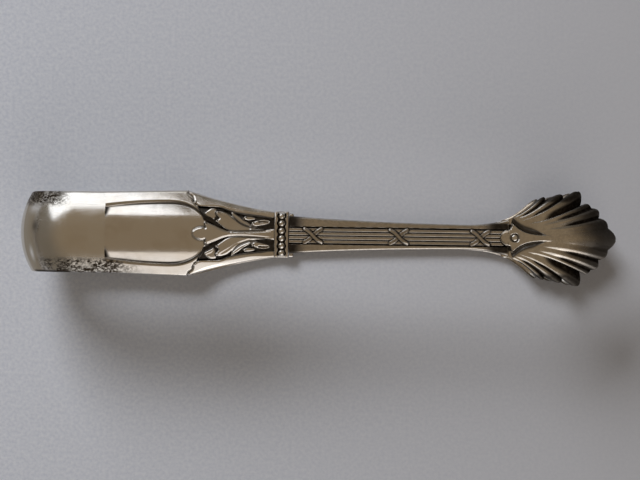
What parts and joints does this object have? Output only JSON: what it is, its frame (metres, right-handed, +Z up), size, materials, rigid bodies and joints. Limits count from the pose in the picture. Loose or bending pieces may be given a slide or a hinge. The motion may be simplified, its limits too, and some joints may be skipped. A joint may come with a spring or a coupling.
{
  "type": "sugar tongs",
  "caption": "Spring-bow sugar tongs in aged silver with leaf-chased shoulders, beaded collars, ribbon-tied reeded stems and lobed leaf claws that close when squeezed.",
  "frame": {"origin": "under the middle of the tongs' box, on the surface that the tongs lie on", "axes": "+X from the bow to the claw tips, +Y across the arms, +Z up from the lower arm to the upper arm"},
  "size_m": [0.1148, 0.018, 0.025],
  "materials": {
    "bow_silver": "worn polished silver with tarnish along the edges",
    "chased_silver": "struck silver with dark patina in the ground",
    "bead_silver": "rubbed bright silver",
    "claw_silver": "cast silver with warm patina in the flutes"
  },
  "bodies": {
    "bow": {"bow": "bow_silver"},
    "upper_arm": {"upper_shoulder": "chased_silver", "upper_collar": "chased_silver", "upper_beads": "bead_silver", "upper_stem": "chased_silver", "upper_claw": "claw_silver", "upper_rivet": "bead_silver"},
    "lower_arm": {"lower_shoulder": "chased_silver", "lower_collar": "chased_silver", "lower_beads": "bead_silver", "lower_stem": "chased_silver", "lower_claw": "claw_silver", "lower_rivet": "bead_silver"}
  },
  "joints": [
    {"name": "upper_arm_flex", "type": "hinge", "parent": "bow", "child": "upper_arm", "pos_m": [-0.05266, 0, 0.02026], "axis": [0, 1, 0], "range_deg": [-2, 3.2], "stiffness_Nm_per_rad": 4, "deforming": ["bow"]},
    {"name": "lower_arm_flex", "type": "hinge", "parent": "bow", "child": "lower_arm", "pos_m": [-0.05266, 0, 0.00474], "axis": [0, -1, 0], "range_deg": [-2, 3.2], "stiffness_Nm_per_rad": 4, "deforming": ["bow"]}
  ],
  "couplings": [
    {"joint": "lower_arm_flex", "follows": "upper_arm_flex", "ratio": 1}
  ]
}
